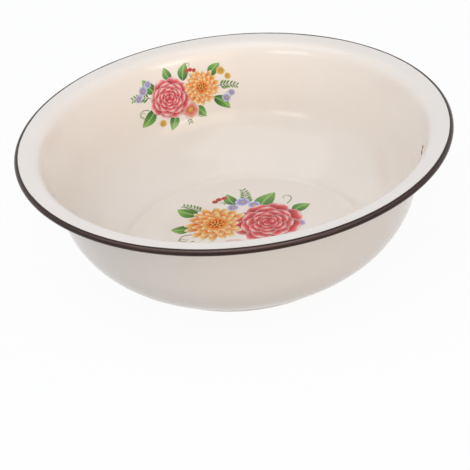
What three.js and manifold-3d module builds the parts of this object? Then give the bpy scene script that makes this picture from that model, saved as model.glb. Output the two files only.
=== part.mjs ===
// An enamelled steel mixing bowl, in millimetres, +Z up, with its origin under the middle of its foot.
// One pressed steel sheet with a curled rim carries a dark ground coat and an ivory cover coat on each
// face, a brown coat round the curl, and two fired flower transfers. A hanging hole goes through the wall.

import * as THREE from 'three';
import { mergeVertices } from 'three/addons/utils/BufferGeometryUtils.js';
import ManifoldModule from 'manifold-3d';

// Outside form, measured over the enamel
const rimDiameter = 320;
const height = 99;
const footDiameter = 183.5; // where the foot's outside, run on straight, would meet the base
const footHeight = 5;
const flangeWidth = 16; // from the rim's edge to where the wall's outside, run on straight, would meet it

// Slopes in degrees: the flange, the shoulder and the base above the horizontal, the wall and the foot off
// the vertical
const flangeRise = 7;
const shoulderRise = 66.5;
const wallDraft = 14.5;
const baseSlope = 34.5;
const footDraft = 36;

// Bends, as radii of the outside face
const footEdgeRadius = 6;
const footNeckRadius = 14;
const kneeRadius = 65;
const shoulderRadius = 25;
const bendRadius = 8;
const shoulderStraight = 0.4; // between the shoulder's bend and the flange's

// Rolled rim
const curlDiameter = 4.7;
const curlTurn = 270; // degrees that the sheet turns past the flange

// Sheet and coats
const sheetThickness = 0.5;
const groundCoat = 0.1;
const coverCoat = 0.2;
const transferThickness = 0.06;
const fusionGap = 0.02; // keeps the facets of fused coats apart

// Hanging hole
const holeDiameter = 8;
const holeDrop = 25; // below the rim's crest
const holeAzimuth = -7.5; // degrees from +X towards +Y

// Flower transfers: the clear film that each print is fired with, a lobed oval
const floorTransfer = { width: 108, depth: 122, offset: 12, lobes: 7, lobeDepth: 0.05 };
const wallTransfer = { width: 92, depth: 48, drop: 35, azimuth: 106, lobes: 5, lobeDepth: 0.05 };

// Facets: steps round the bowl, the films and the hole, and along each bend of the section
const turns = 40;
const outlineSteps = 42;
const holeSides = 20;
const bendSteps = {
  footEdge: 2, footNeck: 2, knee: 4, shoulder: 2, bend: 3, crest: 1, outerCurl: 4, underCurl: 2,
};
const weld = 1e-4; // corners of a mesh closer than this are one corner

const stackThickness = 2 * coverCoat + 2 * groundCoat + sheetThickness + 4 * fusionGap;
const degrees = Math.PI / 180;
const at = (r, z) => new THREE.Vector2(r, z);
const heading = (angle) => at(Math.cos(angle * degrees), Math.sin(angle * degrees));
const leftOf = (direction) => at(-direction.y, direction.x);

// Where the line through a along u meets the line through b along v
function meeting(a, u, b, v) {
  const across = b.clone().sub(a).cross(v) / u.cross(v);
  return a.clone().addScaledVector(u, across);
}

// Samples of an arc of the outside face: start is its first sample, and a positive turn bends inwards.
// A sample holds a point and a normal, which points through the sheet to the bowl's inside.
function arcSamples(start, radius, turn, steps) {
  const side = Math.sign(turn) * radius;
  const centre = start.point.clone().addScaledVector(start.normal, side);
  return Array.from({ length: steps + 1 }, (_, step) => {
    const normal = start.normal.clone().rotateAround(at(0, 0), turn * degrees * step / steps);
    return { point: centre.clone().addScaledVector(normal, -side), normal };
  });
}

// How far before its corner a bend starts, for a radius of 1
const setbackShare = (from, to) => Math.tan(Math.abs(to - from) * degrees / 2);

// The rounded corner between two straight stretches, which head along two angles.
// The room is the length of straight that the bend may use up on each side.
function cornerSamples(point, [from, to], radius, steps, room = Infinity) {
  const setback = Math.min(radius * setbackShare(from, to), room);
  const start = {
    point: point.clone().addScaledVector(heading(from), -setback),
    normal: leftOf(heading(from)),
  };
  return arcSamples(start, setback / setbackShare(from, to), to - from, steps);
}

// The outside face from the middle of the base to the end of the curl, as one run of samples
const curlRadius = curlDiameter / 2;
const curlBore = curlRadius - stackThickness;
const curlCentre = at(rimDiameter / 2 - curlRadius, height - curlRadius);
const curlStart = {
  point: curlCentre.clone().addScaledVector(leftOf(heading(flangeRise)), curlBore),
  normal: leftOf(heading(flangeRise)),
};
const footAngle = 90 - footDraft;
const wallAngle = 90 - wallDraft;
const halfTurn = 180;
const footTurn = [0, footAngle];
const neckTurn = [footAngle, baseSlope];
const kneeTurn = [baseSlope, wallAngle];
const shoulderTurn = [wallAngle, shoulderRise];
const bendTurn = [shoulderRise, flangeRise];
const middle = at(0, 0);
const upward = heading(90);
const footEdge = at(footDiameter / 2, 0);
const footNeck = meeting(footEdge, heading(footAngle), at(0, footHeight), heading(0));
const wallTop = meeting(curlStart.point, heading(flangeRise), at(rimDiameter / 2 - flangeWidth, 0), upward);
const shoulderLength =
  shoulderRadius * setbackShare(...shoulderTurn) + shoulderStraight + bendRadius * setbackShare(...bendTurn);
const shoulderDrop = shoulderLength
  * Math.sin((shoulderRise - flangeRise) * degrees)
  / Math.sin((wallAngle - flangeRise) * degrees);
const shoulder = wallTop.clone().addScaledVector(heading(wallAngle), -shoulderDrop);
const bend = shoulder.clone().addScaledVector(heading(shoulderRise), shoulderLength);
const knee = meeting(footNeck, heading(baseSlope), shoulder, heading(wallAngle));
const kneeRoom = Math.min(
  knee.distanceTo(footNeck) - footNeckRadius * setbackShare(...neckTurn),
  knee.distanceTo(shoulder) - shoulderRadius * setbackShare(...shoulderTurn),
);

const centreSample = { point: middle, normal: upward };
const footEdgeArc = cornerSamples(footEdge, footTurn, footEdgeRadius, bendSteps.footEdge);
const footNeckArc = cornerSamples(footNeck, neckTurn, footNeckRadius, bendSteps.footNeck);
const kneeArc = cornerSamples(knee, kneeTurn, kneeRadius, bendSteps.knee, kneeRoom);
const shoulderArc = cornerSamples(shoulder, shoulderTurn, shoulderRadius, bendSteps.shoulder);
const bendArc = cornerSamples(bend, bendTurn, bendRadius, bendSteps.bend);
const crestArc = arcSamples(curlStart, curlBore, -flangeRise, bendSteps.crest);
const outerCurlArc = arcSamples(crestArc.at(-1), curlBore, -halfTurn, bendSteps.outerCurl);
const underTurn = flangeRise + halfTurn - curlTurn;
const underCurlArc = arcSamples(outerCurlArc.at(-1), curlBore, underTurn, bendSteps.underCurl);
const curlArc = [...crestArc, ...outerCurlArc.slice(1), ...underCurlArc.slice(1)];

const toKnee = [centreSample, ...footEdgeArc, ...footNeckArc, ...kneeArc];
const toBend = [...toKnee, ...shoulderArc, ...bendArc];
const toFlange = [...toBend, curlArc[0]];
const toCurlEnd = [...toBend, ...curlArc];
const wallStretch = [...kneeArc, ...shoulderArc, bendArc[0]];

// A closed ring or dish: the samples' face moved in by a depth, and the same face moved in further
function layer(samples, depth, thickness) {
  const face = (shift) => samples.map(({ point, normal }) => point.clone().addScaledVector(normal, shift));
  const loop = [...face(depth), ...face(depth + thickness).reverse()];
  loop.forEach((point) => {
    point.x = Math.max(point.x, 0);
  });
  loop.push(loop[0].clone());
  const geometry = new THREE.LatheGeometry(loop, turns);
  return geometry.rotateX(Math.PI / 2);
}

// Solids for cutting
const wasm = await ManifoldModule();
wasm.setup();

function solidOf(geometry) {
  const bare = new THREE.BufferGeometry();
  bare.setAttribute('position', geometry.getAttribute('position').clone());
  bare.setIndex(geometry.index ? geometry.index.clone() : null);
  const merged = mergeVertices(bare, weld);
  const kept = [];
  const index = merged.index.array;
  for (let corner = 0; corner < index.length; corner += 3) {
    const [a, b, c] = index.subarray(corner, corner + 3);
    if (a !== b && b !== c && c !== a) kept.push(a, b, c);
  }
  const vertProperties = new Float32Array(merged.getAttribute('position').array);
  const triVerts = new Uint32Array(kept);
  return new wasm.Manifold(new wasm.Mesh({ numProp: 3, vertProperties, triVerts }));
}

function geometryOf(solid) {
  const mesh = solid.getMesh();
  const geometry = new THREE.BufferGeometry();
  geometry.setAttribute('position', new THREE.BufferAttribute(mesh.vertProperties, 3));
  geometry.setIndex(new THREE.BufferAttribute(mesh.triVerts, 1));
  geometry.computeVertexNormals();
  return geometry;
}

// The hanging hole's cutter, square to the wall's straight stretch
function holeCutter() {
  const wall = shoulderArc[0];
  const foot = meeting(wall.point, heading(wallAngle), at(0, height - holeDrop), heading(0));
  const reach = 4 * stackThickness;
  const cutter = new THREE.CylinderGeometry(holeDiameter / 2, holeDiameter / 2, 2 * reach, holeSides);
  const axis = new THREE.Vector3(wall.normal.x, 0, wall.normal.y);
  cutter.applyQuaternion(new THREE.Quaternion().setFromUnitVectors(new THREE.Vector3(0, 1, 0), axis));
  cutter.translate(foot.x, 0, foot.y);
  return solidOf(cutter.rotateZ(holeAzimuth * degrees));
}

const hole = holeCutter();
const pierced = (geometry) => geometryOf(solidOf(geometry).subtract(hole));

// A transfer film's outline: an oval whose edge swells into lobes
function filmOutline({ width, depth, lobes, lobeDepth }) {
  const points = Array.from({ length: outlineSteps }, (_, step) => {
    const angle = 2 * Math.PI * step / outlineSteps;
    const swell = 1 - lobeDepth + lobeDepth * Math.cos(lobes * angle);
    return at(width / 2 * swell * Math.cos(angle), depth / 2 * swell * Math.sin(angle));
  });
  return new THREE.Shape(points);
}

function floorFilm() {
  const film = new THREE.ExtrudeGeometry(filmOutline(floorTransfer), {
    depth: transferThickness,
    bevelEnabled: false,
  });
  return film.translate(0, floorTransfer.offset, stackThickness + fusionGap);
}

// The wall's film is a thin layer of the wall, kept where the outline, run outwards, passes through it
function wallFilm() {
  const skin = layer(wallStretch, stackThickness + fusionGap, transferThickness);
  const outline = new THREE.ExtrudeGeometry(filmOutline(wallTransfer), {
    depth: rimDiameter / 2,
    bevelEnabled: false,
  });
  outline.rotateX(Math.PI / 2).rotateZ((wallTransfer.azimuth + 90) * degrees);
  outline.translate(0, 0, height - wallTransfer.drop);
  return geometryOf(solidOf(skin).intersect(solidOf(outline)));
}

// Depths of the coats behind the outside face, one after the other
const outerGroundDepth = coverCoat + fusionGap;
const sheetDepth = outerGroundDepth + groundCoat + fusionGap;
const innerGroundDepth = sheetDepth + sheetThickness + fusionGap;
const innerCoverDepth = innerGroundDepth + groundCoat + fusionGap;

const steel = new THREE.MeshStandardMaterial({ color: '#8d9093', roughness: 0.4, metalness: 1 });
const ground = new THREE.MeshStandardMaterial({ color: '#25262c', roughness: 0.3, metalness: 0 });
const ivory = new THREE.MeshStandardMaterial({ color: '#efe3d3', roughness: 0.12, metalness: 0 });
const brown = new THREE.MeshStandardMaterial({ color: '#3f2a25', roughness: 0.18, metalness: 0 });
const print = new THREE.MeshStandardMaterial({ color: '#c9663f', roughness: 0.2, metalness: 0 });

function part(name, geometry, material) {
  const mesh = new THREE.Mesh(geometry, material);
  mesh.name = name;
  return mesh;
}

const bowl = new THREE.Group();
bowl.add(
  part('steel_pressing', pierced(layer(toCurlEnd, sheetDepth, sheetThickness)), steel),
  part('outer_ground_coat', pierced(layer(toFlange, outerGroundDepth, groundCoat)), ground),
  part('inner_ground_coat', pierced(layer(toCurlEnd, innerGroundDepth, groundCoat)), ground),
  part('outer_enamel', pierced(layer(toFlange, 0, coverCoat)), ivory),
  part('inner_enamel', pierced(layer(toFlange, innerCoverDepth, coverCoat)), ivory),
  part('rim_enamel', layer(curlArc, innerCoverDepth, coverCoat), brown),
  part('floor_transfer', floorFilm(), print),
  part('wall_transfer', wallFilm(), print),
);

export default bowl;
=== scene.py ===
# %% [markdown]
# # An enamel mixing bowl
# The bowl is one steel sheet, pressed into a dish with a low foot, a wide flange and a rim rolled outwards.
# Glass is fired onto it: a dark ground coat, an ivory cover coat, a brown edge and two printed flower sprays.
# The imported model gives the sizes. Each coat is made again here as a fine surface, as gloss shows facets.

# %% Load the frame
import math

import bpy
import numpy as np
from mathutils import Matrix, Vector


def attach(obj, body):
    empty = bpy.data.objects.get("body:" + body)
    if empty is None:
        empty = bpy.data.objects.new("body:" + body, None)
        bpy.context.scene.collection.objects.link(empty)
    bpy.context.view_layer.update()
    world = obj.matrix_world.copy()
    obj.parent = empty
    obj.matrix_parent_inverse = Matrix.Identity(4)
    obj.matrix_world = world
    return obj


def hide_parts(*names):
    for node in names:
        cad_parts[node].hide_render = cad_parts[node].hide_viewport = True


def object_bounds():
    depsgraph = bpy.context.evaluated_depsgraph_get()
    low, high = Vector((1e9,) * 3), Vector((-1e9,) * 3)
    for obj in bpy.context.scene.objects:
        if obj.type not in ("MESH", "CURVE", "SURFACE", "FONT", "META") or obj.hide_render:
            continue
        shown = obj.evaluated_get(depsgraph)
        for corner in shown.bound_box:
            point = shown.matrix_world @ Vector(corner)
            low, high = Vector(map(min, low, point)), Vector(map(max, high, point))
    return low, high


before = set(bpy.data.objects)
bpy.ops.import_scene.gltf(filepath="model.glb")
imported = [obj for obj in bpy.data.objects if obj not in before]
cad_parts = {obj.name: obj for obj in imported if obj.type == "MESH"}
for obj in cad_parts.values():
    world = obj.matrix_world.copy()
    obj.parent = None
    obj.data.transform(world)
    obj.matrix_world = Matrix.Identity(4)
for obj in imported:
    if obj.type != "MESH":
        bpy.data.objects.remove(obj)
cad_low, cad_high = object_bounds()
MM = 0.001  # lengths below are in millimetres, and Blender counts in metres
RIM_RADIUS = (cad_high.x - cad_low.x) / (2 * MM)
BOWL_HEIGHT = (cad_high.z - cad_low.z) / MM
print(f"frame: {len(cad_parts)} nodes, rim {2 * RIM_RADIUS:.1f} mm, height {BOWL_HEIGHT:.1f} mm")

# %% [markdown]
# ## The camera
# A camera can be placed by eye, or worked out from the rim, which is a true circle and shows as an ellipse.
# Its width, its tilt and the narrowing towards the back give the distance, the height and the roll.
# The last step turns the camera until the rim's middle falls on its own pixel, so no lens shift is needed.

# %% Camera
FRAME_PIXELS = 470
FOCAL_PIXELS = 1500
SENSOR_WIDTH = 36.0
VIEW_DISTANCE = 1097.8
VIEW_ELEVATION = 28.96
VIEW_ROLL = 6.07
RIM_MIDDLE_PIXEL = (232.1, 128.6)


def place_camera():
    """Stands the eye on a line that leans back from the rim's middle, rolls it and turns it to its pixel."""
    camera = bpy.data.objects.new("camera", bpy.data.cameras.new("camera"))
    bpy.context.collection.objects.link(camera)
    camera.data.sensor_width = SENSOR_WIDTH
    camera.data.lens = SENSOR_WIDTH * FOCAL_PIXELS / FRAME_PIXELS
    elevation = math.radians(VIEW_ELEVATION)
    backwards = Vector((0, -math.cos(elevation), math.sin(elevation)))
    rightwards = Vector((1, 0, 0))
    level = Matrix((rightwards, backwards.cross(rightwards), backwards))
    roll = Matrix.Rotation(math.radians(VIEW_ROLL), 3, "Z")
    across = (RIM_MIDDLE_PIXEL[0] - FRAME_PIXELS / 2) / FOCAL_PIXELS
    down = (RIM_MIDDLE_PIXEL[1] - FRAME_PIXELS / 2) / FOCAL_PIXELS
    aim = Vector((0, 0, -1)).rotation_difference(Vector((across, -down, -1))).to_matrix()
    facing = (aim @ roll @ level).transposed().to_4x4()
    rim_middle = Vector((0, 0, BOWL_HEIGHT * MM))
    camera.matrix_world = Matrix.Translation(rim_middle + backwards * VIEW_DISTANCE * MM) @ facing
    bpy.context.scene.camera = camera
    return camera


camera = place_camera()
print(f"camera: lens {camera.data.lens:.1f} mm, at {tuple(round(c, 3) for c in camera.location)}")

# %% [markdown]
# ## The section of the pressing
# A pressed bowl is a solid of revolution, so one section describes it: a flat base, a foot step, a straight
# slope, a wide knee, a straight wall, a soft shoulder, a bend, a flange and a curl. The outside face is drawn
# once, as straights and arcs. Each point keeps its normal, so a coat is the same face moved in by a depth.

# %% Sizes of the section
# slopes in degrees: rises and the base's slope from the horizontal, drafts from the vertical
FLANGE_RISE = 7.0
SHOULDER_RISE = 66.5
WALL_DRAFT = 14.5
BASE_SLOPE = 34.5
FOOT_DRAFT = 36.0
CURL_TURN = 270.0
# lengths in millimetres: a bend's radius is that of the outside face, the curl's is to its outer skin
FOOT_RADIUS = 91.75
FOOT_HEIGHT = 5.0
FLANGE_WIDTH = 16.0
FOOT_EDGE_BEND = 6.0
FOOT_NECK_BEND = 14.0
KNEE_BEND = 65.0
SHOULDER_BEND = 25.0
SHOULDER_STRAIGHT = 0.4
FLANGE_BEND = 8.0
CURL_RADIUS = 2.35
# the sheet and its coats, and how deep each lies behind the outside face
SHEET = 0.5
GROUND_COAT = 0.1
COVER_COAT = 0.2
FUSION_GAP = 0.02
OUTER_GROUND_DEPTH = COVER_COAT + FUSION_GAP
SHEET_DEPTH = OUTER_GROUND_DEPTH + GROUND_COAT + FUSION_GAP
INNER_GROUND_DEPTH = SHEET_DEPTH + SHEET + FUSION_GAP
INNER_COVER_DEPTH = INNER_GROUND_DEPTH + GROUND_COAT + FUSION_GAP
WALL_THICKNESS = INNER_COVER_DEPTH + COVER_COAT
print(f"wall: {WALL_THICKNESS:.2f} mm of sheet and coats")


# %% Straights and bends
def heading(angle):
    """The unit direction at an angle in degrees above the horizontal, as (radius, height)."""
    return np.array([math.cos(math.radians(angle)), math.sin(math.radians(angle))])


def left_of(direction):
    """The direction a quarter turn anticlockwise: from the outside face into the sheet."""
    return np.array([-direction[1], direction[0]])


def meeting(a, u, b, v):
    """Where the line through a along u meets the line through b along v."""
    gap = b - a
    across = (gap[0] * v[1] - gap[1] * v[0]) / (u[0] * v[1] - u[1] * v[0])
    return a + across * u


def setback_of(radius, turn):
    """How far before its corner a bend starts: the radius times the tangent of half its turn."""
    return radius * math.tan(math.radians(abs(turn)) / 2)


def straight_run(start, end, spacing):
    """Even points from start up to, but not on, end, with the straight's normal on each."""
    length = np.linalg.norm(end - start)
    count = max(1, math.ceil(length / spacing))
    share = np.arange(count) / count
    points = start + share[:, None] * (end - start)
    return points, np.tile(left_of((end - start) / length), (len(share), 1))


def bend_run(start, normal, radius, turn, step):
    """Points of an arc: the normal turns by even angles about the bend's middle, a radius away along it."""
    count = math.ceil(abs(turn) / step)
    angle = np.radians(turn) * np.arange(count + 1) / count
    side = math.copysign(radius, turn)
    turned_r = normal[0] * np.cos(angle) - normal[1] * np.sin(angle)
    turned_z = normal[0] * np.sin(angle) + normal[1] * np.cos(angle)
    normals = np.stack([turned_r, turned_z], axis=1)
    return start + normal * side - normals * side, normals


knee_setback = setback_of(KNEE_BEND, 90 - WALL_DRAFT - BASE_SLOPE)
print(f"the knee's bend starts {knee_setback:.1f} mm before its corner")

# %% The section, corner by corner
STRAIGHT_SPACING = 4.0
FLANGE_SPACING = 2.0
CURL_STEP = 7.5


def place_corners(curl_start):
    """Each corner's place, the headings before and after it, its radius and its step in degrees."""
    foot_angle = 90 - FOOT_DRAFT
    wall_angle = 90 - WALL_DRAFT
    foot_edge = np.array([FOOT_RADIUS, 0.0])
    foot_neck = meeting(foot_edge, heading(foot_angle), np.array([0.0, FOOT_HEIGHT]), heading(0))
    mouth = np.array([RIM_RADIUS - FLANGE_WIDTH, 0.0])
    wall_top = meeting(curl_start, heading(FLANGE_RISE), mouth, heading(90))
    shoulder_setback = setback_of(SHOULDER_BEND, wall_angle - SHOULDER_RISE)
    bend_setback = setback_of(FLANGE_BEND, SHOULDER_RISE - FLANGE_RISE)
    shoulder_length = shoulder_setback + SHOULDER_STRAIGHT + bend_setback
    # wall, shoulder and flange make a triangle, whose sides are as the sines of its angles
    bend_share = math.sin(math.radians(SHOULDER_RISE - FLANGE_RISE))
    bend_share = bend_share / math.sin(math.radians(wall_angle - FLANGE_RISE))
    shoulder = wall_top - heading(wall_angle) * shoulder_length * bend_share
    bend = shoulder + heading(SHOULDER_RISE) * shoulder_length
    knee = meeting(foot_neck, heading(BASE_SLOPE), shoulder, heading(wall_angle))
    return [
        (foot_edge, 0, foot_angle, FOOT_EDGE_BEND, 6.0),
        (foot_neck, foot_angle, BASE_SLOPE, FOOT_NECK_BEND, 5.0),
        (knee, BASE_SLOPE, wall_angle, KNEE_BEND, 1.8),
        (shoulder, wall_angle, SHOULDER_RISE, SHOULDER_BEND, 2.0),
        (bend, SHOULDER_RISE, FLANGE_RISE, FLANGE_BEND, 4.0),
    ]


def draw_section():
    """The outside face from the base's middle to the curl's end, and the number of the curl's first point."""
    curl_bore = CURL_RADIUS - WALL_THICKNESS
    curl_middle = np.array([RIM_RADIUS - CURL_RADIUS, BOWL_HEIGHT - CURL_RADIUS])
    curl_start = curl_middle + left_of(heading(FLANGE_RISE)) * curl_bore
    runs = []
    reached = np.zeros(2)
    for corner, angle_in, angle_out, radius, step in place_corners(curl_start):
        turn = angle_out - angle_in
        bend_start = corner - heading(angle_in) * setback_of(radius, turn)
        runs.append(straight_run(reached, bend_start, STRAIGHT_SPACING))
        points, normals = bend_run(bend_start, left_of(heading(angle_in)), radius, turn, step)
        runs.append((points[:-1], normals[:-1]))
        reached = points[-1]
    runs.append(straight_run(reached, curl_start, FLANGE_SPACING))
    runs.append(bend_run(curl_start, left_of(heading(FLANGE_RISE)), curl_bore, -CURL_TURN, CURL_STEP))
    curl_first = sum(len(points) for points, _ in runs[:-1])
    points, normals = (np.concatenate(parts) for parts in zip(*runs))
    return points, normals, curl_first


section_points, section_normals, curl_first = draw_section()
inside_points = section_points + section_normals * WALL_THICKNESS
section_run = np.concatenate([[0.0], np.cumsum(np.linalg.norm(np.diff(inside_points, axis=0), axis=1))])
RIM_RUN = section_run[curl_first]
END_RUN = section_run[-1]


def face_at(run, depth):
    """Radius and height of the face that lies a depth inside the outside face, at a run along the section."""
    columns = np.concatenate([section_points, section_normals], axis=1).T
    r, z, normal_r, normal_z = (np.interp(run, section_run, column) for column in columns)
    return np.maximum(r + normal_r * depth, 0.0), z + normal_z * depth


def run_at_height(height, points):
    """The run at which a face of the wall reaches a height."""
    return float(np.interp(height, points[:curl_first, 1], section_run[:curl_first]))


print(f"section: {len(section_run)} points, {END_RUN:.1f} mm long")

# %% [markdown]
# ## A grid with a hole in it
# The bowl hangs on a nail by one small hole. A boolean would leave long thin faces round it, which spoil the
# gloss. Instead the grid of runs and turns gets close lines near the hole, and its squares there are drawn
# into circles: a square ring of half-width m becomes a ring of radius m, and the squares inside are left out.

# %% Grid lines
HOLE_RADIUS = 4.0
HOLE_DROP = 25.0
HOLE_AZIMUTH = math.radians(-7.5)
HOLE_CELL = 0.5
HOLE_ZONE = 9.0
HOLE_RUN = run_at_height(BOWL_HEIGHT - HOLE_DROP, section_points)
HOLE_REACH = float(face_at(HOLE_RUN, WALL_THICKNESS)[0])
TURN_STEPS = 264


def smooth(low, high, value):
    """Zero below low, one above high, and an even S between."""
    share = np.clip((value - low) / (high - low), 0, 1)
    return share * share * (3 - 2 * share)


def closer_near(values, middle, zone, cell):
    """The values outside the zone about middle, with evenly spaced close ones inside it."""
    close = middle + np.arange(-round(zone / cell), round(zone / cell) + 1) * cell
    kept = values[np.abs(values - middle) > zone + 0.6 * cell]
    return np.sort(np.concatenate([kept, close]))


def bowl_grid(runs):
    """Run and azimuth of every grid point, with the lines near the hole drawn into circles round it."""
    turns = np.arange(TURN_STEPS) * 2 * math.pi / TURN_STEPS - math.pi
    turns = closer_near(turns, HOLE_AZIMUTH, HOLE_ZONE / HOLE_REACH, HOLE_CELL / HOLE_REACH)
    run, turn = np.meshgrid(runs, turns, indexing="ij")
    up = run - HOLE_RUN
    along = (turn - HOLE_AZIMUTH) * HOLE_REACH
    square = np.maximum(np.abs(up), np.abs(along))
    away = np.maximum(np.hypot(up, along), 1e-9)
    factor = 1 + smooth(HOLE_ZONE, HOLE_RADIUS, square) * (square / away - 1)
    return HOLE_RUN + up * factor, HOLE_AZIMUTH + along * factor / HOLE_REACH


print(f"grid: hole at run {HOLE_RUN:.1f} mm and radius {HOLE_REACH:.1f} mm")

# %% From a grid to a piece
SHARP_ANGLE = 38.0


def grid_faces(shape, wrapped):
    """Quads of a grid, facing the side from which the second index runs anticlockwise."""
    rows, columns = shape
    index = np.arange(rows * columns).reshape(shape)
    following = np.roll(index, -1, axis=1)
    quads = np.stack([index[:-1], index[1:], following[1:], following[:-1]], axis=-1)
    return (quads if wrapped else quads[:, :-1]).reshape(-1, 4)


def closed_between(faces, count):
    """A thin solid's faces: the given top, its copy below turned round, and strips along the free edges."""
    starts = np.concatenate([faces[:, side] for side in range(4)])
    ends = np.concatenate([np.roll(faces, -1, axis=1)[:, side] for side in range(4)])
    real = starts != ends
    starts, ends = starts[real], ends[real]
    free = ~np.isin(starts * (2 * count) + ends, ends * (2 * count) + starts)
    a, b = starts[free], ends[free]
    strips = np.stack([b, a, a + count, b + count], axis=1)
    return np.concatenate([faces, faces[:, ::-1] + count, strips])


def add_piece(name, points, faces, material):
    """A smooth mesh piece from points in millimetres; a face that repeats a corner becomes a triangle."""
    corners = [list(dict.fromkeys(face)) for face in faces.tolist()]
    mesh = bpy.data.meshes.new(name)
    mesh.from_pydata((points * MM).tolist(), [], corners)
    mesh.polygons.foreach_set("use_smooth", np.ones(len(corners), dtype=bool))
    mesh.set_sharp_from_angle(angle=math.radians(SHARP_ANGLE))
    mesh.materials.append(material)
    mesh.update()
    piece = bpy.data.objects.new(name, mesh)
    bpy.context.collection.objects.link(piece)
    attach(piece, "root")
    return piece


def turned(run, turn, depth):
    """Points of a face of revolution: its radius is carried round by the azimuth, its height is kept."""
    r, z = face_at(run, depth)
    return np.stack([r * np.cos(turn), r * np.sin(turn), z], axis=-1).reshape(-1, 3)


def coat_solid(run, turn, outer_depth, inner_depth):
    """Points and faces of a coat between two depths, without the hole's squares and closed in the middle."""
    faces = grid_faces(run.shape, wrapped=True)
    up = run.ravel()[faces].mean(axis=1) - HOLE_RUN
    along = (turn.ravel()[faces].mean(axis=1) - HOLE_AZIMUTH) * HOLE_REACH
    faces = faces[np.hypot(up, along) > HOLE_RADIUS - 0.05 * HOLE_CELL]
    if run[0].max() == 0:
        faces = np.where(faces < run.shape[1], 0, faces)
    points = np.concatenate([turned(run, turn, inner_depth), turned(run, turn, outer_depth)])
    faces = closed_between(faces, run.size)
    used = np.unique(faces)
    return points[used], np.searchsorted(used, faces)


print(f"pieces: edges sharper than {SHARP_ANGLE:.0f} degrees stay sharp")

# %% [markdown]
# ## Finishes
# Enamel is glass: a clear, hard gloss over an even colour, with faint clouds where the spray lay thicker, a
# speck of iron here and there, and a very slight swell that makes reflections waver. A flat colour would look
# like plastic, so the finishes mix close tints, and most vary their gloss as well. Patterns read Object
# coordinates.

# %% Node helper and colour
def linear(hex_colour):
    """An sRGB hex colour as linear red, green, blue and alpha, which is what shader sockets take."""
    shares = [int(hex_colour[k:k + 2], 16) / 255 for k in (1, 3, 5)]
    return [c / 12.92 if c <= 0.04045 else ((c + 0.055) / 1.055) ** 2.4 for c in shares] + [1.0]


def add_node(tree, kind, inputs, **settings):
    """Adds a node, sets its settings, and links or sets each named or numbered input."""
    made = tree.nodes.new(kind)
    for name, value in settings.items():
        setattr(made, name, value)
    for socket, value in inputs.items():
        if isinstance(value, bpy.types.NodeSocket):
            tree.links.new(value, made.inputs[socket])
        else:
            made.inputs[socket].default_value = value
    return made


def blank_finish(name):
    """A new material's node tree, with its shader and the object's coordinates in millimetres."""
    material = bpy.data.materials.new(name)
    material.use_nodes = True
    tree = material.node_tree
    place = add_node(tree, "ShaderNodeTexCoord", {}).outputs["Object"]
    scaled = add_node(tree, "ShaderNodeVectorMath", {0: place, 3: 1 / MM}, operation="SCALE")
    return material, tree, tree.nodes["Principled BSDF"], scaled.outputs[0]


print("a middle grey in linear light:", round(linear("#808080")[0], 3))

# %% [markdown]
# ### Ivory enamel
# A cream cover coat, sprayed and fired at about 820 degrees. Up close it has a soft swell 3.5 mm across,
# and clouds some 50 mm across. Iron specks, about half a millimetre wide, are rare.

# %% Ivory enamel
GLASS_IOR = 1.52
CLOUD_SIZE = 50.0
SWELL_SIZE = 3.5
SPECK_SPACING = 16.0
SPECK_SIZE = 0.35
SPECKLESS_SHARE = 0.86
SPECK_DARKNESS = 0.45


def make_ivory_enamel():
    """Two close creams mixed by clouds, sparse dark specks, a slightly uneven gloss and a faint swell."""
    material, tree, shader, place = blank_finish("ivory_cover_enamel")
    clouds = add_node(tree, "ShaderNodeTexNoise", {"Vector": place, "Scale": 1 / CLOUD_SIZE, "Detail": 3.0})
    cream = add_node(
        tree, "ShaderNodeMix",
        {0: clouds.outputs[0], 6: linear("#fbf1e4"), 7: linear("#f5eadb")},
        data_type="RGBA",
    )
    cells = add_node(tree, "ShaderNodeTexVoronoi", {"Vector": place, "Scale": 1 / SPECK_SPACING})
    near = add_node(
        tree, "ShaderNodeMapRange",
        {0: cells.outputs["Distance"], 1: SPECK_SIZE / SPECK_SPACING, 2: 0.4 * SPECK_SIZE / SPECK_SPACING},
    )
    channel = add_node(tree, "ShaderNodeSeparateColor", {0: cells.outputs["Color"]})
    rare = add_node(
        tree, "ShaderNodeMath", {0: channel.outputs[0], 1: SPECKLESS_SHARE}, operation="GREATER_THAN",
    )
    speck = add_node(tree, "ShaderNodeMath", {0: near.outputs[0], 1: rare.outputs[0]}, operation="MULTIPLY")
    faint = add_node(tree, "ShaderNodeMath", {0: speck.outputs[0], 1: SPECK_DARKNESS}, operation="MULTIPLY")
    specked = add_node(
        tree, "ShaderNodeMix",
        {0: faint.outputs[0], 6: cream.outputs[2], 7: linear("#6d5848")},
        data_type="RGBA",
    )
    tree.links.new(specked.outputs[2], shader.inputs["Base Color"])
    gloss = add_node(tree, "ShaderNodeMapRange", {0: clouds.outputs[0], 3: 0.09, 4: 0.16})
    tree.links.new(gloss.outputs[0], shader.inputs["Roughness"])
    swell = add_node(tree, "ShaderNodeTexNoise", {"Vector": place, "Scale": 1 / SWELL_SIZE, "Detail": 1.0})
    bump = add_node(
        tree, "ShaderNodeBump",
        {"Height": swell.outputs[0], "Strength": 0.05, "Distance": 0.4 * MM},
    )
    tree.links.new(bump.outputs[0], shader.inputs["Normal"])
    shader.inputs["IOR"].default_value = GLASS_IOR
    return material


ivory_enamel = make_ivory_enamel()
print(f"ivory enamel: clouds {CLOUD_SIZE:.0f} mm, swell {SWELL_SIZE} mm, specks {SPECK_SIZE} mm")
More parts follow.
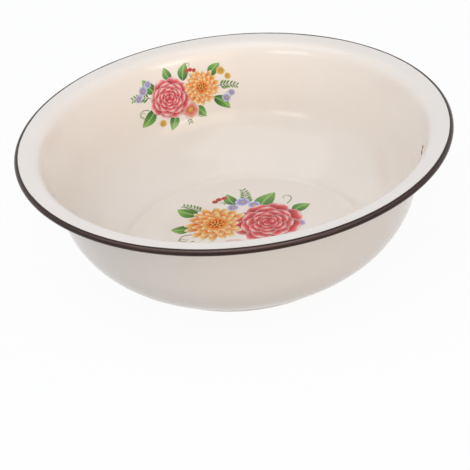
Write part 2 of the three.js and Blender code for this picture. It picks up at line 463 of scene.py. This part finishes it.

# %% [markdown]
# ### Brown enamel, ground coat and steel
# The edge is a dark iron-brown glass, brushed on by hand. Wet glass draws away from the crest of a curl, so
# the coat is thinner there, and a paler line is painted on the crest as a highlight, strongest in front; an
# attribute of the edge says where. The ground coat is a blue-black glass, and the steel is browned by the
# firing. Those two show only in the hole and at the end of the curl.

# %% Brown enamel, ground coat and steel
STREAK_SIZE = 6.0
MOTTLE_SIZE = 1.5


def make_brown_enamel():
    """Two dark browns mixed by streaks, a paler painted highlight on the crest, and an uneven gloss."""
    material, tree, shader, place = blank_finish("brown_edge_enamel")
    streaks = add_node(tree, "ShaderNodeTexNoise", {"Vector": place, "Scale": 1 / STREAK_SIZE, "Detail": 4.0})
    brown = add_node(
        tree, "ShaderNodeMix",
        {0: streaks.outputs[0], 6: linear("#170a07"), 7: linear("#2e1a15")},
        data_type="RGBA",
    )
    # painted highlight: a pale brown mixed into the dark where the crest attribute is high, strongest in
    # front
    thin = add_node(tree, "ShaderNodeAttribute", {}, attribute_name="Thin")
    edge = add_node(
        tree, "ShaderNodeMix",
        {0: thin.outputs["Fac"], 6: brown.outputs[2], 7: linear("#74625e")},
        data_type="RGBA",
    )
    tree.links.new(edge.outputs[2], shader.inputs["Base Color"])
    gloss = add_node(tree, "ShaderNodeMapRange", {0: streaks.outputs[0], 3: 0.12, 4: 0.26})
    tree.links.new(gloss.outputs[0], shader.inputs["Roughness"])
    bump = add_node(
        tree, "ShaderNodeBump",
        {"Height": streaks.outputs[0], "Strength": 0.08, "Distance": 0.5 * MM},
    )
    tree.links.new(bump.outputs[0], shader.inputs["Normal"])
    shader.inputs["IOR"].default_value = GLASS_IOR
    shader.inputs["Specular IOR Level"].default_value = 0.3
    shader.inputs["Specular Tint"].default_value = linear("#ffe0d6")
    return material


def make_ground_enamel():
    """A blue-black glass with small bubbles that show as paler dots."""
    material, tree, shader, place = blank_finish("blue_black_ground_enamel")
    bubbles = add_node(tree, "ShaderNodeTexVoronoi", {"Vector": place, "Scale": 1 / MOTTLE_SIZE})
    tint = add_node(
        tree, "ShaderNodeMix",
        {0: bubbles.outputs["Distance"], 6: linear("#33343c"), 7: linear("#17171c")},
        data_type="RGBA",
    )
    tree.links.new(tint.outputs[2], shader.inputs["Base Color"])
    shader.inputs["Roughness"].default_value = 0.25
    shader.inputs["IOR"].default_value = GLASS_IOR
    return material


def make_pickled_steel():
    """Sheet steel, matt from the acid and browned by the fire, with a fine mottle in tint and gloss."""
    material, tree, shader, place = blank_finish("pickled_steel")
    mottle = add_node(tree, "ShaderNodeTexNoise", {"Vector": place, "Scale": 1 / MOTTLE_SIZE, "Detail": 4.0})
    grey = add_node(
        tree, "ShaderNodeMix",
        {0: mottle.outputs[0], 6: linear("#8a7f68"), 7: linear("#b3a88f")},
        data_type="RGBA",
    )
    tree.links.new(grey.outputs[2], shader.inputs["Base Color"])
    gloss = add_node(tree, "ShaderNodeMapRange", {0: mottle.outputs[0], 3: 0.35, 4: 0.55})
    tree.links.new(gloss.outputs[0], shader.inputs["Roughness"])
    shader.inputs["Metallic"].default_value = 1.0
    return material


brown_enamel = make_brown_enamel()
ground_enamel = make_ground_enamel()
pickled_steel = make_pickled_steel()
print("finishes:", [m.name for m in (ivory_enamel, brown_enamel, ground_enamel, pickled_steel)])

# %% [markdown]
# ## The pressing and its coats
# Each layer is a thin closed solid on the same grid. Pressed and fired sheet is never quite true, so the
# two faces that show get a gentle ripple, a few hundredths of a millimetre high, from a sum of slow waves.
# Round the hanging hole the wet glass drew back into a low ring, which is a hump at a set distance from it.

# %% Pressing and coats
RIPPLE_HEIGHT = 0.03
RIPPLE_FADE = 25.0
MENISCUS_HEIGHT = 0.14
MENISCUS_OFFSET = 1.3
MENISCUS_WIDTH = 0.8


def ripple(run, turn, phase):
    """A sum of slow waves round the bowl and along its section, which fades in above the flat base."""
    waves = np.cos(5 * turn + run / 31 + phase) + np.cos(8 * turn - run / 23 + 2 * phase)
    waves = waves + 0.7 * np.cos(13 * turn + run / 17 + 3 * phase) + 0.5 * np.cos(21 * turn - run / 12)
    return RIPPLE_HEIGHT * waves * np.clip((run - FOOT_RADIUS) / RIPPLE_FADE, 0, 1) / 2


def meniscus(run, turn):
    """A low ring of glass round the hanging hole: a bell curve of the distance from the hole's edge."""
    away = np.hypot(run - HOLE_RUN, (turn - HOLE_AZIMUTH) * HOLE_REACH) - HOLE_RADIUS
    return MENISCUS_HEIGHT * np.exp(-(((away - MENISCUS_OFFSET) / MENISCUS_WIDTH) ** 2))


def make_coats():
    """The five layers of the sheet, from the outside in, each between its own two depths."""
    runs = closer_near(section_run, HOLE_RUN, HOLE_ZONE, HOLE_CELL)
    run, turn = bowl_grid(runs)
    flange = runs <= RIM_RUN + 1e-6
    run_flange, turn_flange = run[flange], turn[flange]
    hump = meniscus(run, turn)
    outer_face = -ripple(run, turn, 0.7) - hump
    inner_face = WALL_THICKNESS + ripple(run, turn, 2.1) + hump
    layers = [
        ("steel_sheet", "steel_pressing", "steel", pickled_steel, run, turn,
         SHEET_DEPTH, SHEET_DEPTH + SHEET),
        ("outside_ground", "outer_ground_coat", "ground_enamel", ground_enamel, run_flange, turn_flange,
         OUTER_GROUND_DEPTH, OUTER_GROUND_DEPTH + GROUND_COAT),
        ("inside_ground", "inner_ground_coat", "ground_enamel", ground_enamel, run, turn,
         INNER_GROUND_DEPTH, INNER_GROUND_DEPTH + GROUND_COAT),
        ("ivory_outside", "outer_enamel", "ivory_enamel", ivory_enamel, run_flange, turn_flange,
         outer_face[flange], COVER_COAT),
        ("ivory_inside", "inner_enamel", "ivory_enamel", ivory_enamel, run, turn,
         INNER_COVER_DEPTH, inner_face),
    ]
    for name, node, slot, finish, rows, turns, outer_depth, inner_depth in layers:
        points, faces = coat_solid(rows, turns, outer_depth, inner_depth)
        piece = add_piece(name, points, faces, finish)
        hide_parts(node)
        print(f"{name}: {len(points)} points")


make_coats()

# %% [markdown]
# ## The brown edge
# The rim was dipped or brushed, so its paint line wavers by a few tenths of a millimetre and the glass thins
# out towards it. The edge is a strip along the curl whose first and last lines follow sums of waves. How
# far a point's face tilts up says how near it is to the crest, where the coat is thinner and a paler line is
# painted on as a highlight, most of all in front.

# %% Brown edge
EDGE_COAT = 0.12
EDGE_SINK = 0.06
EDGE_LIFT = 0.02
EDGE_POOLING = 0.25
EDGE_FEATHER = 0.7
PAINT_LINE_OFFSET = -0.1
PAINT_LINE_WAVER = 0.16
UNDER_LINE_WAVER = 0.35
# the crest's painted highlight and its thinner coat: where they peak, how wide, how they waver, the coat lost
CREST_TILT = 47.0
CREST_SPREAD = 13.0
CREST_WAVER = 0.15
CREST_LOSS = 0.3
SIDE_THINNING = 0.2
FRONT_SHARPNESS = 12
EDGE_ROWS = 44
EDGE_TURNS = 720


def waver(turn, phase):
    """An uneven hand-made line: waves of several lengths round the rim, between about -1 and 1."""
    slow = np.sin(3 * turn + phase) + 0.8 * np.sin(7 * turn + 2.3 * phase)
    fast = 0.6 * np.sin(17 * turn + 4.1 * phase) + 0.45 * np.sin(41 * turn + phase) + 0.3 * np.sin(89 * turn)
    return (slow + fast) / 2.4


def make_brown_edge():
    """A strip from the paint line to the curl's end, feathered at both lines and thinner on its crest.

    The crest carries a painted highlight. It and the crest's thinning are a bell curve of the tilt, times a
    power of a sine that is one at the front."""
    turns = np.arange(EDGE_TURNS) * 2 * math.pi / EDGE_TURNS
    first = RIM_RUN + PAINT_LINE_OFFSET + PAINT_LINE_WAVER * waver(turns, 1.3)
    last = END_RUN - UNDER_LINE_WAVER * (1 + waver(turns, 4.2))
    share = np.linspace(0, 1, EDGE_ROWS)[:, None]
    run = first + share * (last - first)
    turn = np.broadcast_to(turns, run.shape)
    from_edge = np.minimum(run - first, last - run)
    near_edge = np.clip(from_edge / EDGE_FEATHER, 0, 1)
    thick = np.sqrt(near_edge * (2 - near_edge))
    pooled = 1 + EDGE_POOLING * waver(turn * 2, 0.4)
    tilt = 90 + FLANGE_RISE - CURL_TURN * (run - RIM_RUN) / (END_RUN - RIM_RUN)
    # the crest share: a painted highlight that is strongest in front and weaker at the sides, which also
    # thins the coat
    front = ((1 - np.sin(turn)) / 2) ** FRONT_SHARPNESS
    thin = np.exp(-(((tilt - CREST_TILT) / CREST_SPREAD) ** 2))
    thin = thin * (1 - CREST_WAVER + CREST_WAVER * waver(turn * 3, 2.6))
    thin = thin * (SIDE_THINNING + (1 - SIDE_THINNING) * front)
    coat = EDGE_COAT * thick * pooled * (1 - CREST_LOSS * thin)
    inner_depth = WALL_THICKNESS + RIPPLE_HEIGHT + EDGE_LIFT + coat
    points, faces = coat_solid(run, turn, WALL_THICKNESS - EDGE_SINK, inner_depth)
    piece = add_piece("brown_edge", points, faces, brown_enamel)
    # the attribute carries the painted crest highlight to the brown enamel
    attribute = piece.data.attributes.new("Thin", "FLOAT", "POINT")
    attribute.data.foreach_set("value", np.tile(np.clip(thin, 0, 1).ravel(), 2))
    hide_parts("rim_enamel")
    return piece


brown_edge = make_brown_edge()
print(f"brown edge: {len(brown_edge.data.polygons)} faces")

# %% [markdown]
# ## Printed flowers
# The sprays are ceramic transfers: colour printed on film and fired into the glaze. An image could be wrapped
# on the bowl, but here each petal, leaf and stem is a small patch of ink of its own, laid on the surface in
# painter's order. A patch is a grid of length and width, so its colours follow the petal from root to tip.

# %% Ink patches
INK_BASE = 0.035
INK_STEP = 0.006
INK_FILM = 0.004


def ramp(share, *stops):
    """Colours along a row of (place, hex) stops, as linear values."""
    places = [place for place, _ in stops]
    colours = np.array([linear(colour)[:3] for _, colour in stops])
    return np.stack([np.interp(share, places, colours[:, k]) for k in range(3)], axis=-1)


class Spray:
    """Collects patches of ink in a plane, in millimetres, which are later laid on the bowl as one piece."""

    def __init__(self, seed):
        self.random = np.random.default_rng(seed)
        self.points = []
        self.colours = []
        self.orders = []
        self.faces = []
        self.count = 0

    def lay(self, along, across, colours, place, turn, order):
        """Adds one grid patch: along and across are its points before it is turned and put in place."""
        cosine, sine = math.cos(turn), math.sin(turn)
        x = place[0] + along * cosine - across * sine
        y = place[1] + along * sine + across * cosine
        self.faces.append(grid_faces(along.shape, wrapped=False) + self.count)
        self.points.append(np.stack([x, y], axis=-1).reshape(-1, 2))
        self.colours.append(colours.reshape(-1, 3))
        self.orders.append(np.full(along.size, order))
        self.count += along.size


def blade_grid(rows, columns):
    """Shares along (0 to 1) and across (-1 to 1) a patch, with close lines at its ends and edges."""
    along = (1 - np.cos(np.linspace(0, math.pi, rows))) / 2
    across = np.sin(np.linspace(-math.pi / 2, math.pi / 2, columns))
    return np.meshgrid(along, across, indexing="ij")


print(f"ink: films {INK_FILM} mm thick, laid {INK_STEP} mm above each other")

# %% [markdown]
# ### Petals, leaves and stems
# A petal is widest beyond its middle and rounds off at the tip: its half-width is a power of a sine. Colour
# runs from a deep root to a pale lip, streaked along its length, with one side a little in shade.
# A leaf is pointed, toothed and veined. A stem is a thin band along a curve, and a tendril's curve coils up.

# %% Petals and leaves
PETAL_GRID = (13, 11)
LEAF_GRID = (36, 17)


def lay_petal(
    spray, place, turn, length, width, stops, order, fullness, notch=0.0, shade=0.25, hidden=0.0
):
    """A petal from its root at place: half-width is the sine of the share along, raised to a small power.

    The colours run over the part that shows, beyond the share hidden by the petals on top.
    """
    u, v = blade_grid(*PETAL_GRID)
    shown = np.clip((u - hidden) / (1 - hidden), 0, 1)
    half = width / 2 * np.maximum(np.sin(math.pi * u ** 1.5), 0.0) ** fullness + 0.02
    along = length * (u - notch * u ** 8 * (1 - v * v))
    phase = spray.random.uniform(0, 6)
    streak = 1 + 0.10 * np.sin(9 * v + phase) * smooth(0.1, 0.5, u)
    lip = np.maximum(smooth(0.72, 1.0, np.abs(v)) * smooth(0.35, 0.7, u), smooth(0.9, 1.0, u))
    colours = ramp(shown, *stops) * (streak * (1 - shade * (v + 1) / 2))[..., None]
    colours = colours + (ramp(np.ones_like(u), *stops) - colours) * (0.45 * lip)[..., None]
    spray.lay(along, half * v, colours * spray.random.uniform(0.93, 1.05), place, turn, order)


def lay_leaf(spray, place, turn, length, width, order):
    """A toothed, pointed leaf: one half paler, a pale midrib, and veins that slant forwards from it."""
    u, v = blade_grid(*LEAF_GRID)
    teeth = 1 + 0.07 * (np.abs((u * 8) % 1 - 0.5) * 2 - 0.5) * smooth(0.05, 0.2, u) * smooth(1.0, 0.85, u)
    half = width / 2 * np.maximum(np.sin(math.pi * u ** 0.8), 0.0) ** 0.85 * teeth + 0.02
    sway = 0.06 * length * np.sin(math.pi * u)
    colours = ramp(u, (0, "#2c5a26"), (0.45, "#4f8a34"), (1, "#8bb458"))
    colours = colours * (1 + 0.35 * smooth(-0.1, 0.15, v))[..., None]
    vein = smooth(0.36, 0.5, np.abs((u * 6.5 - np.abs(v) * 0.9) % 1 - 0.5))
    colours = colours * (1 - 0.3 * vein * smooth(1.0, 0.5, np.abs(v)))[..., None]
    rib = smooth(0.12, 0.03, np.abs(v)) * smooth(1.0, 0.8, u)
    colours = colours + (np.array(linear("#bfd690")[:3]) - colours) * (0.7 * rib)[..., None]
    edge = smooth(0.8, 1.0, np.abs(v))
    colours = colours * (1 - 0.3 * edge)[..., None]
    spray.lay(length * u, half * v + sway, colours, place, turn, order)


trial = Spray(seed=1)
lay_leaf(trial, (0, 0), 0, 20, 10, 0)
print(f"a leaf has {trial.count} points")

# %% Stems and fronds
PATH_POINTS = 48


def lay_band(spray, path, width, colour, order):
    """A thin band along a path of points, narrowing to its far end."""
    ahead = np.gradient(path, axis=0)
    aside = np.stack([-ahead[:, 1], ahead[:, 0]], axis=1) / np.linalg.norm(ahead, axis=1)[:, None]
    half = width / 2 * np.linspace(1, 0.45, len(path))[:, None]
    v = np.linspace(-1, 1, 3)
    points = path[:, None, :] + aside[:, None, :] * (half * v)[..., None]
    colours = np.broadcast_to(np.array(linear(colour)[:3]), (len(path), len(v), 3))
    spray.lay(points[..., 0], points[..., 1], colours, (0, 0), 0, order)


def curl_path(place, turn, length, coil):
    """A path whose heading turns faster and faster: the running sum of unit steps at a growing angle."""
    share = np.linspace(0, 1, PATH_POINTS)
    angle = turn + coil * share ** 2.2
    steps = np.stack([np.cos(angle), np.sin(angle)], axis=1) * length / (PATH_POINTS - 1)
    return np.array(place) + np.concatenate([[[0, 0]], np.cumsum(steps[:-1], axis=0)])


def lay_frond(spray, place, turn, length, order, coil=0.5, pairs=6):
    """A stem with pairs of small leaflets that shorten towards its tip."""
    path = curl_path(place, turn, length, coil)
    lay_band(spray, path, 0.5, "#5c7f3c", order)
    for pair in range(1, pairs + 1):
        at = int(len(path) * pair / (pairs + 0.6))
        ahead = path[min(at + 1, PATH_POINTS - 1)] - path[at - 1]
        aim = math.atan2(ahead[1], ahead[0])
        reach = length * (0.34 - 0.025 * pair)
        for side in (-1, 1):
            stops = ((0, "#3d6b2c"), (1, "#8fb764"))
            lay_petal(spray, path[at], aim + side * 0.8, reach, reach * 0.34, stops, order + 0.3, 0.8)


print(f"a stem's path has {PATH_POINTS} points")

# %% [markdown]
# ### Flower heads
# Three common garden forms are used: a full rosette of overlapping rings, a double daisy with narrow rays
# round a dotted eye, and a simple five-petalled blossom. Each is rings of one petal, so a short loop lays
# it, and small random leans keep the rings from looking stamped. Berries fill the gaps.

# %% Flower heads
CORAL = ((0, "#cc2a40"), (0.35, "#ec5560"), (0.7, "#f88c88"), (1, "#ffe2da"))
CRIMSON = ((0, "#b81a2e"), (0.4, "#ea3d48"), (0.75, "#f56d69"), (1, "#ffd6cd"))
AMBER = ((0, "#f05a1f"), (0.3, "#ff983c"), (0.65, "#ffc66c"), (1, "#fff0c8"))
SALMON = ((0, "#d9534a"), (0.5, "#f08d72"), (1, "#fde0cd"))
LILAC = ((0, "#7d77b8"), (0.5, "#aaa5d6"), (1, "#e4dff2"))
GOLD = ((0, "#b8791f"), (0.5, "#e6ad45"), (1, "#f8de98"))
GOLDEN_ANGLE = 2.39996
DOT_GRID = (7, 7)


def lay_dots(spray, place, radius, count, size, colour, order):
    """Round dots on a sunflower spiral: each turns by the golden angle and lies a root further out."""
    for dot in range(count):
        angle = dot * GOLDEN_ANGLE
        away = radius * math.sqrt((dot + 0.5) / count)
        middle = (place[0] + away * math.cos(angle), place[1] + away * math.sin(angle))
        tint = linear(colour)[:3]
        u, v = blade_grid(*DOT_GRID)
        half = size * np.sqrt(np.maximum(1 - (2 * u - 1) ** 2, 0)) + 0.01
        lit = (0.75 + 0.45 * u)[..., None] * np.array(tint)
        spray.lay(size * (2 * u - 1), half * v, lit, middle, 0.9, order + 0.01 * (dot % 7))


def lay_rosette(spray, place, radius, turn, stops, order):
    """Rings of broad petals, each ring smaller, turned half a petal on and laid over the one before."""
    rings = ((8, 1.0, 0.78), (7, 0.8, 0.66), (7, 0.62, 0.5), (6, 0.45, 0.38), (5, 0.3, 0.27), (3, 0.17, 0.18))
    for ring, (petals, reach, breadth) in enumerate(rings):
        hidden = 0.92 * rings[ring + 1][1] / reach if ring + 1 < len(rings) else 0.0
        for petal in range(petals):
            angle = turn + ring * 0.41 + 2 * math.pi * petal / petals + spray.random.uniform(-0.08, 0.08)
            length = radius * reach * spray.random.uniform(0.94, 1.05)
            level = order + ring + 0.1 * petal
            lay_petal(spray, place, angle, length, radius * breadth, stops, level, 0.42, 0.07, 0.28, hidden)


def lay_daisy(spray, place, radius, turn, stops, order):
    """Three rings of narrow rays, each shorter than the last, round an eye of dots."""
    rings = ((17, 1.0, 0.3, 0.62), (15, 0.76, 0.26, 0.55), (12, 0.52, 0.22, 0.4))
    for ring, (rays, reach, breadth, hidden) in enumerate(rings):
        for ray in range(rays):
            angle = turn + ring * 0.19 + 2 * math.pi * ray / rays + spray.random.uniform(-0.05, 0.05)
            length = radius * reach * spray.random.uniform(0.92, 1.05)
            level = order + ring + 0.5 * (ray % 2) + 0.02 * ray
            lay_petal(spray, place, angle, length, radius * breadth, stops, level, 0.6, 0.05, 0.3, hidden)
    lay_dots(spray, place, radius * 0.2, 26, radius * 0.05, "#b8321a", order + 3)
    lay_dots(spray, place, radius * 0.22, 15, radius * 0.035, "#f6c258", order + 4)


def lay_blossom(spray, place, radius, turn, stops, order):
    """Five round petals with a notch in each lip, and a yellow eye."""
    for petal in range(5):
        angle = turn + 2 * math.pi * petal / 5
        lay_petal(spray, place, angle, radius, radius * 1.05, stops, order + 0.12 * petal, 0.5, 0.16, 0.25)
    lay_dots(spray, place, radius * 0.2, 9, radius * 0.09, "#e9b83f", order + 1)


def lay_berries(spray, place, size, turn, order):
    """Three berries on thin stalks that fan out."""
    for berry, lean in enumerate((-0.45, 0.05, 0.5)):
        path = curl_path(place, turn + lean, size * 4, 0.4)
        lay_band(spray, path, 0.4, "#6d7d43", order)
        lay_dots(spray, tuple(path[-1]), 0.01, 1, size, "#c4342e", order + 0.5 + 0.1 * berry)


trial = Spray(seed=1)
lay_rosette(trial, (0, 0), 20, 0, CORAL, 0)
print(f"a rosette has {len(trial.faces)} petals")

# %% [markdown]
# ### The two sprays
# The wall carries a low garland: a rosette left of the middle, a daisy to its right, blossoms and fronds at
# the ends. The floor carries a round posy of larger heads. Both compositions are this model's own.

# %% Sprays
def compose_wall_garland():
    """A garland about 88 mm wide and 50 mm high, in a plane whose middle is the garland's."""
    spray = Spray(seed=11)
    for place, turn, length, coil in (
        ((-30, -9), 3.5, 17, -5.5), ((-31, -5), 2.7, 16, 5.0), ((27, 12), 0.9, 19, -5.5),
        ((30, -7), -0.5, 18, 5.5), ((6, 17), 1.9, 14, -5.0), ((8, -17), -1.1, 13, 5.0),
    ):
        lay_band(spray, curl_path(place, turn, length, coil), 0.8, "#8b9660", 0)
    lay_frond(spray, (-27, 4), 2.75, 18, 0.5)
    lay_frond(spray, (29, 2), 0.05, 17, 0.5, -0.5)
    lay_frond(spray, (3, -12), -1.75, 13, 0.5, 0.4, 5)
    for place, turn, length, width in (
        ((-22, 7), 2.2, 17, 9), ((-25, -6), 3.75, 18, 9.5), ((2, 11), 1.25, 15, 8.5),
        ((25, -7), -0.75, 16, 9), ((24, 11), 0.75, 14, 8), ((-9, -14), -2.0, 14, 8),
        ((8, -12), -0.9, 13, 7.5), ((-8, 14), 1.9, 12, 7),
    ):
        lay_leaf(spray, place, turn, length, width, 2 + 0.1 * place[0] / 10)
    lay_berries(spray, (9, 12), 1.7, 1.3, 3)
    for place, radius in (
        ((-33, 12), 4.0), ((-38, 7), 3.4), ((-28, 16), 3.2), ((35, -9), 3.6), ((40, -5), 2.9),
    ):
        lay_blossom(spray, place, radius, place[0] * 0.7, LILAC, 4)
    for place, radius in (((34, 14), 3.6), ((39, 9), 2.8), ((-21, -19), 3.2)):
        lay_blossom(spray, place, radius, place[0] * 0.4, GOLD, 4)
    lay_blossom(spray, (4, -14), 7.6, 0.5, SALMON, 5)
    lay_daisy(spray, (16.5, 2.5), 15.5, 0.2, AMBER, 6)
    lay_rosette(spray, (-11.5, -0.5), 17.5, 0.4, CORAL, 6)
    return spray


def compose_floor_posy():
    """A posy about 104 mm wide and 114 mm deep, in a plane whose middle is the posy's."""
    spray = Spray(seed=23)
    for place, turn, length, coil in (
        ((-36, 2), 2.9, 26, 5.5), ((-38, -6), 3.6, 22, -5.0),
        ((37, 34), 0.9, 22, 5.0), ((30, -34), -0.9, 24, 5.0),
    ):
        lay_band(spray, curl_path(place, turn, length, coil), 1.1, "#8b9660", 0)
    lay_frond(spray, (4, 38), 1.45, 24, 0.5, 0.5, 7)
    lay_frond(spray, (-30, 34), 2.3, 20, 0.5, 0.5)
    lay_frond(spray, (-14, -38), -2.0, 22, 0.5, 0.5)
    for place, turn, length, width in (
        ((14, 30), 1.0, 27, 15), ((40, 22), 0.5, 17, 11), ((-34, 30), 2.5, 20, 12),
        ((-40, 12), 3.1, 16, 11), ((36, -18), -0.6, 21, 13), ((-26, -30), -2.3, 23, 13),
        ((6, -38), -1.3, 22, 12), ((-4, 40), 1.9, 18, 10),
    ):
        lay_leaf(spray, place, turn, length, width, 2 + 0.1 * place[0] / 10)
    lay_berries(spray, (-12, 42), 2.4, 1.9, 3)
    for place, radius in (
        ((2, 43), 6.0), ((11, 37), 5.2), ((-6, 36), 4.8), ((44, 4), 5.0), ((-42, -14), 5.0),
    ):
        lay_blossom(spray, place, radius, place[0] * 0.3, LILAC, 4)
    lay_blossom(spray, (-8, -26), 17, 0.4, SALMON, 5)
    lay_blossom(spray, (24, -30), 9, 0.9, GOLD, 5)
    lay_daisy(spray, (-20, 15), 25, 0.1, AMBER, 7)
    lay_rosette(spray, (20, 10), 27, 0.3, CRIMSON, 7)
    return spray


garland = compose_wall_garland()
posy = compose_floor_posy()
print(f"sprays: {len(garland.faces)} patches on the wall and {len(posy.faces)} on the floor")

# %% [markdown]
# ### Laying the ink
# The print is glossy like the glaze, a little uneven, with the fine grain of a screen print. The grain is
# drawn at 0.8 mm, coarser than a real screen, so that it shows. Colours come from the patches' own attribute.

# %% Transfer print finish and laying
PRINT_GRAIN = 0.8
GARLAND_AZIMUTH = math.radians(106)
GARLAND_DROP = 35.0
POSY_OFFSET = 12.0
RIPPLE_ROOM = 1.6 * RIPPLE_HEIGHT  # the most that the ripple can stand up


def make_transfer_print():
    """The ink attribute, grained by a fine noise, under the gloss of the glaze."""
    material, tree, shader, place = blank_finish("fired_transfer_ink")
    ink = add_node(tree, "ShaderNodeAttribute", {}, attribute_name="Ink")
    grain = add_node(tree, "ShaderNodeTexNoise", {"Vector": place, "Scale": 1 / PRINT_GRAIN, "Detail": 2.0})
    level = add_node(tree, "ShaderNodeMapRange", {0: grain.outputs[0], 3: 0.9, 4: 1.1})
    grained = add_node(
        tree, "ShaderNodeVectorMath", {0: ink.outputs["Color"], 3: level.outputs[0]}, operation="SCALE",
    )
    tree.links.new(grained.outputs[0], shader.inputs["Base Color"])
    gloss = add_node(tree, "ShaderNodeMapRange", {0: grain.outputs[0], 3: 0.12, 4: 0.2})
    tree.links.new(gloss.outputs[0], shader.inputs["Roughness"])
    shader.inputs["IOR"].default_value = GLASS_IOR
    return material


def on_wall(points, lift):
    """A plane wrapped on the inner wall: across turns into azimuth, up into run, and lift stands off it."""
    middle = run_at_height(BOWL_HEIGHT - GARLAND_DROP, inside_points)
    run = middle + points[:, 1]
    reach = face_at(run, WALL_THICKNESS)[0]
    return turned(run, GARLAND_AZIMUTH - points[:, 0] / reach, WALL_THICKNESS + RIPPLE_ROOM + lift)


def on_floor(points, lift):
    """A plane laid on the flat floor."""
    return np.stack([points[:, 0], points[:, 1] + POSY_OFFSET, WALL_THICKNESS + RIPPLE_ROOM + lift], axis=1)


def lay_spray(spray, name, node, laid_on):
    """All of a spray's patches as thin closed films on the bowl, with their colours in the Ink attribute."""
    flat = np.concatenate(spray.points)
    lift = INK_BASE + INK_STEP * np.concatenate(spray.orders)
    points = np.concatenate([laid_on(flat, lift), laid_on(flat, lift - INK_FILM)])
    faces = closed_between(np.concatenate(spray.faces), spray.count)
    piece = add_piece(name, points, faces, transfer_print)
    ink = np.concatenate([np.concatenate(spray.colours), np.ones((spray.count, 1))], axis=1)
    attribute = piece.data.color_attributes.new("Ink", "FLOAT_COLOR", "POINT")
    attribute.data.foreach_set("color", np.tile(np.clip(ink, 0, 1), (2, 1)).ravel())
    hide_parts(node)
    print(f"{name}: {len(points)} points")


transfer_print = make_transfer_print()
lay_spray(garland, "wall_garland", "wall_transfer", on_wall)
lay_spray(posy, "floor_posy", "floor_transfer", on_floor)

# %% [markdown]
# ## Light, floor and world
# The bowl stands on a white table. A big panel hangs over it, a warm one stands by the camera, and
# two small lamps leave short streaks on the glaze. Strong lamps could bleach the background, but they would
# bleach the bowl too. So the world and the table are white only to rays that see them, the light that they
# give stays plain, and the table keeps a faint shadow.

# %% World
WORLD_LIGHT = 0.69
WORLD_TINT = "#e6eeff"


def seen_directly(tree):
    """One for a ray from the camera, off a glossy face or through glass, and zero for soft light."""
    path = add_node(tree, "ShaderNodeLightPath", {}).outputs
    seen = path["Is Camera Ray"]
    for kind in ("Is Glossy Ray", "Is Transmission Ray"):
        seen = add_node(tree, "ShaderNodeMath", {0: seen, 1: path[kind]}, operation="MAXIMUM").outputs[0]
    return seen


def make_world():
    """A plain world that lights the bowl from all round and is white where it is seen."""
    world = bpy.data.worlds.new("white_studio")
    bpy.context.scene.world = world
    world.use_nodes = True
    tree = world.node_tree
    seen = seen_directly(tree)
    strength = add_node(tree, "ShaderNodeMapRange", {0: seen, 3: WORLD_LIGHT, 4: 1.0})
    tint = add_node(
        tree, "ShaderNodeMix", {0: seen, 6: linear(WORLD_TINT), 7: linear("#ffffff")}, data_type="RGBA",
    )
    background = tree.nodes["Background"]
    tree.links.new(tint.outputs[2], background.inputs["Color"])
    tree.links.new(strength.outputs[0], background.inputs["Strength"])


make_world()
print(f"world: soft light of {WORLD_LIGHT}, white where it is seen")

# %% Table
TABLE_WIDTH = 4000.0
TABLE_FRONT = -450.0
TABLE_BACK = 2500.0
TABLE_SHADOW_SHARE = 0.06
TABLE_PAINT = "#a4a4a4"
TABLE_SEEN = "#fafafa"


def make_table():
    """A wide table: matt, but nearly pure white where it is seen, so that a faint shadow is left."""
    material = bpy.data.materials.new("white_table")
    material.use_nodes = True
    tree = material.node_tree
    tree.nodes.clear()
    seen = seen_directly(tree)
    paint = add_node(
        tree, "ShaderNodeMix", {0: seen, 6: linear(TABLE_PAINT), 7: linear(TABLE_SEEN)}, data_type="RGBA",
    )
    matt = add_node(tree, "ShaderNodeBsdfDiffuse", {"Color": paint.outputs[2]})
    white = add_node(tree, "ShaderNodeEmission", {"Color": linear("#ffffff"), "Strength": 1.0})
    share = add_node(tree, "ShaderNodeMath", {0: seen, 1: 1 - TABLE_SHADOW_SHARE}, operation="MULTIPLY")
    mixed = add_node(
        tree, "ShaderNodeMixShader", {0: share.outputs[0], 1: matt.outputs[0], 2: white.outputs[0]},
    )
    add_node(tree, "ShaderNodeOutputMaterial", {"Surface": mixed.outputs[0]})
    left, right = -TABLE_WIDTH / 2 * MM, TABLE_WIDTH / 2 * MM
    front, back = TABLE_FRONT * MM, TABLE_BACK * MM
    mesh = bpy.data.meshes.new("white_table")
    corners = [(left, front, 0), (right, front, 0), (right, back, 0), (left, back, 0)]
    mesh.from_pydata(corners, [], [(0, 1, 2, 3)])
    mesh.materials.append(material)
    table = bpy.data.objects.new("white_table", mesh)
    bpy.context.collection.objects.link(table)


make_table()
print(f"table: {TABLE_WIDTH * MM:.0f} m wide")


# %% Lamps
def add_softbox(name, place, size, brightness, tint):
    """A rectangular lamp aimed at the bowl, placed in metres. Its power is brightness times pi times area."""
    lamp = bpy.data.lights.new(name, "AREA")
    lamp.shape = "RECTANGLE"
    lamp.size, lamp.size_y = size
    lamp.energy = brightness * math.pi * size[0] * size[1]
    lamp.color = linear(tint)[:3]
    softbox = bpy.data.objects.new(name, lamp)
    bpy.context.collection.objects.link(softbox)
    softbox.location = place
    softbox.visible_camera = False
    aim = Vector((0, 0, BOWL_HEIGHT * MM / 2)) - Vector(place)
    softbox.rotation_euler = aim.to_track_quat("-Z", "Y").to_euler()


add_softbox("ceiling_panel", (-0.35, -0.5, 1.3), (2.1, 1.3), 0.76, "#fcffff")
add_softbox("front_panel", (0.6, -1.45, 0.5), (1.6, 0.75), 1.35, "#ffdcae")
add_softbox("left_lamp", (-0.97, -1.1, 0.38), (0.6, 0.26), 2.6, "#ffffff")
add_softbox("right_lamp", (0.75, -1.15, 0.31), (0.5, 0.24), 4.0, "#ffffff")
bpy.context.scene.view_settings.view_transform = "Standard"
print("lamps: two panels and two small lamps")
